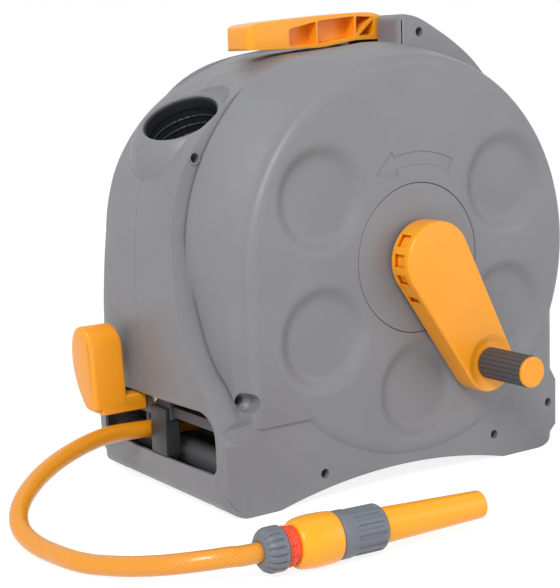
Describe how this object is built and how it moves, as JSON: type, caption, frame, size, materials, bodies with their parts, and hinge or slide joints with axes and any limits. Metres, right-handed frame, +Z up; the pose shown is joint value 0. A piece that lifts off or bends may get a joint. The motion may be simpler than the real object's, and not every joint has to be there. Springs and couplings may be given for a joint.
{
  "type": "garden hose reel",
  "caption": "Freestanding enclosed garden hose reel with a crank, a folding carry handle, a sliding hose guide and a hose with a nozzle on its end.",
  "frame": {"origin": "on the ground, in the middle of the reel's own box, measured without the free hose and what is on it", "axes": "+Z up; +Y along the drum's axis, away from the crank side; +X along the casing, away from the hose exit"},
  "size_m": [0.615, 0.4573, 0.4555],
  "materials": {
    "body_plastic": "satin grey moulded plastic",
    "inner_plastic": "plain dark grey plastic",
    "orange_plastic": "satin orange moulded plastic",
    "yellow_plastic": "glossy orange-yellow moulded plastic",
    "hose_pvc": "glossy amber PVC over a braid",
    "grip_rubber": "ribbed dark rubber",
    "black_plastic": "black plastic",
    "connector_grey": "satin blue-grey plastic",
    "red_plastic": "satin red-orange plastic",
    "steel": "zinc-plated steel",
    "seal_rubber": "black rubber"
  },
  "bodies": {
    "casing": {"front_shell": "body_plastic", "rear_shell": "body_plastic", "guide_rail": "inner_plastic", "hose_bar": "body_plastic", "nozzle_holster": "black_plastic", "handle_pin": "steel", "inlet_fitting": "orange_plastic", "casing_screw_1": "steel", "casing_screw_2": "steel", "casing_screw_3": "steel", "casing_screw_4": "steel", "holster_screw_1": "steel", "holster_screw_2": "steel"},
    "handle": {"carry_handle": "orange_plastic"},
    "drum": {"drum_barrel": "inner_plastic", "front_flange": "inner_plastic", "rear_flange": "inner_plastic", "hub_plate": "body_plastic", "hose_winding": "hose_pvc", "outlet_elbow": "inner_plastic", "inlet_seal": "seal_rubber", "tail_clamp": "steel", "crank_arm": "orange_plastic", "crank_screw": "steel", "grip_spindle": "orange_plastic"},
    "grip": {"crank_grip": "grip_rubber"},
    "guide": {"guide_carriage": "inner_plastic", "guide_post_near": "black_plastic", "guide_post_far": "black_plastic", "guide_lever": "orange_plastic", "guide_screw": "steel", "lead_hose": "hose_pvc", "free_hose": "hose_pvc", "connector_nut": "connector_grey", "connector_core": "red_plastic", "nozzle_stem": "connector_grey", "nozzle_collar": "connector_grey"},
    "sleeve": {"connector_sleeve": "yellow_plastic"},
    "barrel": {"nozzle_barrel": "yellow_plastic"}
  },
  "joints": [
    {"name": "drum_spin", "type": "hinge", "parent": "casing", "child": "drum", "pos_m": [0.03986, 0.0253, 0.219], "axis": [0, 1, 0], "continuous": true},
    {"name": "grip_spin", "type": "hinge", "parent": "drum", "child": "grip", "pos_m": [0.10386, -0.1607, 0.111], "axis": [0, 1, 0], "continuous": true},
    {"name": "guide_slide", "type": "slide", "parent": "casing", "child": "guide", "axis": [0, 1, 0], "range_m": [-0.07, 0.05]},
    {"name": "handle_fold", "type": "hinge", "parent": "casing", "child": "handle", "pos_m": [0.09886, 0.0253, 0.434], "axis": [0, 1, 0], "range_deg": [0, 85]},
    {"name": "sleeve_slide", "type": "slide", "parent": "guide", "child": "sleeve", "axis": [-0.9957, 0.0924, 0], "range_m": [0, 0.004], "stiffness_N_per_m": 300},
    {"name": "barrel_twist", "type": "hinge", "parent": "guide", "child": "barrel", "pos_m": [-0.24014, -0.2332, 0.0226], "axis": [0.9957, -0.0924, 0], "range_deg": [0, 270]}
  ]
}
